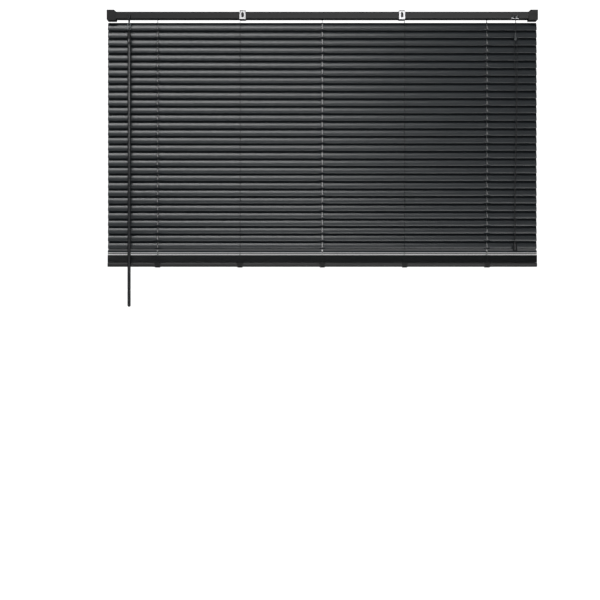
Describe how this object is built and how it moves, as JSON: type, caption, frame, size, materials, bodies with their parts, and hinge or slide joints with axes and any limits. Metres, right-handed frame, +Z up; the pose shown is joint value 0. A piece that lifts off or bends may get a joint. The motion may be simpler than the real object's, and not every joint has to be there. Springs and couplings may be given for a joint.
{
  "type": "venetian blind",
  "caption": "Dark grey aluminium venetian blind on box brackets, partly raised, with a tilt wand at the left and a pull cord at the right.",
  "frame": {"origin": "centre of the end brackets' ceiling screw pattern, in the ceiling plane", "axes": "+X along the width towards the pull cord, +Y away from the room to the wall, +Z up"},
  "size_m": [1.2, 0.0415, 0.827],
  "materials": {
    "slat_enamel": "dark grey satin enamel",
    "rail_enamel": "dark grey satin enamel",
    "bracket_enamel": "dark grey powder coat",
    "zinc_steel": "bright zinc plating",
    "dark_plastic": "moulded, satin",
    "pale_plastic": "translucent grey, smooth",
    "wand_plastic": "smoked grey, smooth",
    "cord_grey": "braided polyester"
  },
  "bodies": {
    "root": {"headrail": "rail_enamel", "end_bracket_left": "bracket_enamel", "end_bracket_right": "bracket_enamel", "centre_bracket_left": "zinc_steel", "centre_bracket_right": "zinc_steel", "drum_cradles": "dark_plastic", "tilter_housing": "dark_plastic", "cord_lock": "zinc_steel", "lift_cords": "cord_grey", "pull_cord": "cord_grey", "cord_connector": "pale_plastic"},
    "tilt_rod": {"tilt_rod": "zinc_steel", "ladder_drums": "dark_plastic", "worm_wheel": "pale_plastic"},
    "slat_01": {"slat_01": "slat_enamel"},
    "slat_02": {"slat_02": "slat_enamel"},
    "slat_03": {"slat_03": "slat_enamel"},
    "slat_04": {"slat_04": "slat_enamel"},
    "slat_05": {"slat_05": "slat_enamel"},
    "slat_06": {"slat_06": "slat_enamel"},
    "slat_07": {"slat_07": "slat_enamel"},
    "slat_08": {"slat_08": "slat_enamel"},
    "slat_09": {"slat_09": "slat_enamel"},
    "slat_10": {"slat_10": "slat_enamel"},
    "slat_11": {"slat_11": "slat_enamel"},
    "slat_12": {"slat_12": "slat_enamel"},
    "slat_13": {"slat_13": "slat_enamel"},
    "slat_14": {"slat_14": "slat_enamel"},
    "slat_15": {"slat_15": "slat_enamel"},
    "slat_16": {"slat_16": "slat_enamel"},
    "slat_17": {"slat_17": "slat_enamel"},
    "slat_18": {"slat_18": "slat_enamel"},
    "slat_19": {"slat_19": "slat_enamel"},
    "slat_20": {"slat_20": "slat_enamel"},
    "slat_21": {"slat_21": "slat_enamel"},
    "slat_22": {"slat_22": "slat_enamel"},
    "slat_23": {"slat_23": "slat_enamel"},
    "slat_24": {"slat_24": "slat_enamel"},
    "slat_25": {"slat_25": "slat_enamel"},
    "slat_26": {"slat_26": "slat_enamel"},
    "slat_27": {"slat_27": "slat_enamel"},
    "slat_28": {"slat_28": "slat_enamel"},
    "slat_29": {"slat_29": "slat_enamel"},
    "slat_30": {"slat_30": "slat_enamel"},
    "tilter_worm": {"tilter_worm": "dark_plastic"},
    "wand_link": {"wand_link": "pale_plastic"},
    "wand": {"wand_ferrule": "wand_plastic", "wand_rod": "wand_plastic"},
    "ladder_front": {"ladder_strings_front": "cord_grey"},
    "ladder_back": {"ladder_strings_back": "cord_grey"},
    "bottom_rail": {"bottom_rail": "rail_enamel", "rail_end_caps": "dark_plastic", "rail_clips": "dark_plastic", "slat_stack": "slat_enamel"},
    "cord_tassel": {"cord_tassel": "dark_plastic"},
    "lock_roller": {"lock_roller": "zinc_steel"},
    "lock_pawl": {"lock_pawl": "zinc_steel"},
    "bracket_gate_left": {"bracket_gate_left": "bracket_enamel"},
    "bracket_gate_right": {"bracket_gate_right": "bracket_enamel"}
  },
  "joints": [
    {"name": "tilt", "type": "hinge", "parent": "root", "child": "tilt_rod", "pos_m": [0, 0, -0.0134], "axis": [1, 0, 0], "range_deg": [-145, 5]},
    {"name": "slat_01_turn", "type": "hinge", "parent": "root", "child": "slat_01", "pos_m": [0, 0, -0.0455], "axis": [1, 0, 0], "range_deg": [-145, 5]},
    {"name": "slat_02_turn", "type": "hinge", "parent": "root", "child": "slat_02", "pos_m": [0, 0, -0.0665], "axis": [1, 0, 0], "range_deg": [-145, 5]},
    {"name": "slat_03_turn", "type": "hinge", "parent": "root", "child": "slat_03", "pos_m": [0, 0, -0.0875], "axis": [1, 0, 0], "range_deg": [-145, 5]},
    {"name": "slat_04_turn", "type": "hinge", "parent": "root", "child": "slat_04", "pos_m": [0, 0, -0.1085], "axis": [1, 0, 0], "range_deg": [-145, 5]},
    {"name": "slat_05_turn", "type": "hinge", "parent": "root", "child": "slat_05", "pos_m": [0, 0, -0.1295], "axis": [1, 0, 0], "range_deg": [-145, 5]},
    {"name": "slat_06_turn", "type": "hinge", "parent": "root", "child": "slat_06", "pos_m": [0, 0, -0.1505], "axis": [1, 0, 0], "range_deg": [-145, 5]},
    {"name": "slat_07_turn", "type": "hinge", "parent": "root", "child": "slat_07", "pos_m": [0, 0, -0.1715], "axis": [1, 0, 0], "range_deg": [-145, 5]},
    {"name": "slat_08_turn", "type": "hinge", "parent": "root", "child": "slat_08", "pos_m": [0, 0, -0.1925], "axis": [1, 0, 0], "range_deg": [-145, 5]},
    {"name": "slat_09_turn", "type": "hinge", "parent": "root", "child": "slat_09", "pos_m": [0, 0, -0.2135], "axis": [1, 0, 0], "range_deg": [-145, 5]},
    {"name": "slat_10_turn", "type": "hinge", "parent": "root", "child": "slat_10", "pos_m": [0, 0, -0.2345], "axis": [1, 0, 0], "range_deg": [-145, 5]},
    {"name": "slat_11_turn", "type": "hinge", "parent": "root", "child": "slat_11", "pos_m": [0, 0, -0.2555], "axis": [1, 0, 0], "range_deg": [-145, 5]},
    {"name": "slat_12_turn", "type": "hinge", "parent": "root", "child": "slat_12", "pos_m": [0, 0, -0.2765], "axis": [1, 0, 0], "range_deg": [-145, 5]},
    {"name": "slat_13_turn", "type": "hinge", "parent": "root", "child": "slat_13", "pos_m": [0, 0, -0.2975], "axis": [1, 0, 0], "range_deg": [-145, 5]},
    {"name": "slat_14_turn", "type": "hinge", "parent": "root", "child": "slat_14", "pos_m": [0, 0, -0.3185], "axis": [1, 0, 0], "range_deg": [-145, 5]},
    {"name": "slat_15_turn", "type": "hinge", "parent": "root", "child": "slat_15", "pos_m": [0, 0, -0.3395], "axis": [1, 0, 0], "range_deg": [-145, 5]},
    {"name": "slat_16_turn", "type": "hinge", "parent": "root", "child": "slat_16", "pos_m": [0, 0, -0.3605], "axis": [1, 0, 0], "range_deg": [-145, 5]},
    {"name": "slat_17_turn", "type": "hinge", "parent": "root", "child": "slat_17", "pos_m": [0, 0, -0.3815], "axis": [1, 0, 0], "range_deg": [-145, 5]},
    {"name": "slat_18_turn", "type": "hinge", "parent": "root", "child": "slat_18", "pos_m": [0, 0, -0.4025], "axis": [1, 0, 0], "range_deg": [-145, 5]},
    {"name": "slat_19_turn", "type": "hinge", "parent": "root", "child": "slat_19", "pos_m": [0, 0, -0.4235], "axis": [1, 0, 0], "range_deg": [-145, 5]},
    {"name": "slat_20_turn", "type": "hinge", "parent": "root", "child": "slat_20", "pos_m": [0, 0, -0.4445], "axis": [1, 0, 0], "range_deg": [-145, 5]},
    {"name": "slat_21_turn", "type": "hinge", "parent": "root", "child": "slat_21", "pos_m": [0, 0, -0.4655], "axis": [1, 0, 0], "range_deg": [-145, 5]},
    {"name": "slat_22_turn", "type": "hinge", "parent": "root", "child": "slat_22", "pos_m": [0, 0, -0.4865], "axis": [1, 0, 0], "range_deg": [-145, 5]},
    {"name": "slat_23_turn", "type": "hinge", "parent": "root", "child": "slat_23", "pos_m": [0, 0, -0.5075], "axis": [1, 0, 0], "range_deg": [-145, 5]},
    {"name": "slat_24_turn", "type": "hinge", "parent": "root", "child": "slat_24", "pos_m": [0, 0, -0.5285], "axis": [1, 0, 0], "range_deg": [-145, 5]},
    {"name": "slat_25_turn", "type": "hinge", "parent": "root", "child": "slat_25", "pos_m": [0, 0, -0.5495], "axis": [1, 0, 0], "range_deg": [-145, 5]},
    {"name": "slat_26_turn", "type": "hinge", "parent": "root", "child": "slat_26", "pos_m": [0, 0, -0.5705], "axis": [1, 0, 0], "range_deg": [-145, 5]},
    {"name": "slat_27_turn", "type": "hinge", "parent": "root", "child": "slat_27", "pos_m": [0, 0, -0.5915], "axis": [1, 0, 0], "range_deg": [-145, 5]},
    {"name": "slat_28_turn", "type": "hinge", "parent": "root", "child": "slat_28", "pos_m": [0, 0, -0.6125], "axis": [1, 0, 0], "range_deg": [-145, 5]},
    {"name": "slat_29_turn", "type": "hinge", "parent": "root", "child": "slat_29", "pos_m": [0, 0, -0.6335], "axis": [1, 0, 0], "range_deg": [-145, 5]},
    {"name": "slat_30_turn", "type": "hinge", "parent": "root", "child": "slat_30", "pos_m": [0, 0, -0.6545], "axis": [1, 0, 0], "range_deg": [-145, 5]},
    {"name": "worm_turn", "type": "hinge", "parent": "root", "child": "tilter_worm", "pos_m": [-0.537, -0.0195, -0.038], "axis": [0, 0.4226, 0.9063], "range_deg": [-1740, 60]},
    {"name": "wand_turn", "type": "hinge", "parent": "root", "child": "wand_link", "pos_m": [-0.537, -0.0195, -0.038], "axis": [0, 0, 1], "range_deg": [-1740, 60]},
    {"name": "wand_swing", "type": "hinge", "parent": "wand_link", "child": "wand", "pos_m": [-0.537, -0.0195, -0.058], "axis": [1, 0, 0], "range_deg": [-60, 0]},
    {"name": "ladder_front_shift", "type": "hinge", "parent": "tilt_rod", "child": "ladder_front", "pos_m": [0, -0.0051, -0.02538], "axis": [1, 0, 0], "range_deg": [-5, 145], "deforming": ["ladder_strings_front"]},
    {"name": "ladder_back_shift", "type": "hinge", "parent": "tilt_rod", "child": "ladder_back", "pos_m": [0, 0.0051, -0.00142], "axis": [1, 0, 0], "range_deg": [-5, 145], "deforming": ["ladder_strings_back"]},
    {"name": "lift", "type": "slide", "parent": "root", "child": "bottom_rail", "axis": [0, 0, 1], "range_m": [-0.904, 0], "deforming": ["lift_cords"]},
    {"name": "cord_pull", "type": "slide", "parent": "root", "child": "cord_tassel", "axis": [0, 0, 1], "range_m": [0, 0.56], "deforming": ["pull_cord"]},
    {"name": "roller_turn", "type": "hinge", "parent": "root", "child": "lock_roller", "pos_m": [0.5315, -0.0086, -0.017], "axis": [0, 0, 1], "range_deg": [-18600, 0]},
    {"name": "pawl_release", "type": "hinge", "parent": "root", "child": "lock_pawl", "pos_m": [0.543, -0.0086, -0.017], "axis": [0, 0, 1], "range_deg": [-25, 0]},
    {"name": "gate_left", "type": "hinge", "parent": "root", "child": "bracket_gate_left", "pos_m": [-0.59, -0.0132, -0.0013], "axis": [1, 0, 0], "range_deg": [-85, 0]},
    {"name": "gate_right", "type": "hinge", "parent": "root", "child": "bracket_gate_right", "pos_m": [0.59, -0.0132, -0.0013], "axis": [1, 0, 0], "range_deg": [-85, 0]}
  ],
  "couplings": [
    {"joint": "slat_01_turn", "follows": "tilt", "ratio": 1},
    {"joint": "slat_02_turn", "follows": "tilt", "ratio": 1},
    {"joint": "slat_03_turn", "follows": "tilt", "ratio": 1},
    {"joint": "slat_04_turn", "follows": "tilt", "ratio": 1},
    {"joint": "slat_05_turn", "follows": "tilt", "ratio": 1},
    {"joint": "slat_06_turn", "follows": "tilt", "ratio": 1},
    {"joint": "slat_07_turn", "follows": "tilt", "ratio": 1},
    {"joint": "slat_08_turn", "follows": "tilt", "ratio": 1},
    {"joint": "slat_09_turn", "follows": "tilt", "ratio": 1},
    {"joint": "slat_10_turn", "follows": "tilt", "ratio": 1},
    {"joint": "slat_11_turn", "follows": "tilt", "ratio": 1},
    {"joint": "slat_12_turn", "follows": "tilt", "ratio": 1},
    {"joint": "slat_13_turn", "follows": "tilt", "ratio": 1},
    {"joint": "slat_14_turn", "follows": "tilt", "ratio": 1},
    {"joint": "slat_15_turn", "follows": "tilt", "ratio": 1},
    {"joint": "slat_16_turn", "follows": "tilt", "ratio": 1},
    {"joint": "slat_17_turn", "follows": "tilt", "ratio": 1},
    {"joint": "slat_18_turn", "follows": "tilt", "ratio": 1},
    {"joint": "slat_19_turn", "follows": "tilt", "ratio": 1},
    {"joint": "slat_20_turn", "follows": "tilt", "ratio": 1},
    {"joint": "slat_21_turn", "follows": "tilt", "ratio": 1},
    {"joint": "slat_22_turn", "follows": "tilt", "ratio": 1},
    {"joint": "slat_23_turn", "follows": "tilt", "ratio": 1},
    {"joint": "slat_24_turn", "follows": "tilt", "ratio": 1},
    {"joint": "slat_25_turn", "follows": "tilt", "ratio": 1},
    {"joint": "slat_26_turn", "follows": "tilt", "ratio": 1},
    {"joint": "slat_27_turn", "follows": "tilt", "ratio": 1},
    {"joint": "slat_28_turn", "follows": "tilt", "ratio": 1},
    {"joint": "slat_29_turn", "follows": "tilt", "ratio": 1},
    {"joint": "slat_30_turn", "follows": "tilt", "ratio": 1},
    {"joint": "worm_turn", "follows": "tilt", "ratio": 12},
    {"joint": "wand_turn", "follows": "tilt", "ratio": 12},
    {"joint": "ladder_front_shift", "follows": "tilt", "ratio": -1},
    {"joint": "ladder_back_shift", "follows": "tilt", "ratio": -1},
    {"joint": "cord_pull", "follows": "lift", "ratio": -0.619},
    {"joint": "roller_turn", "follows": "lift", "rad_per_m": 357}
  ]
}
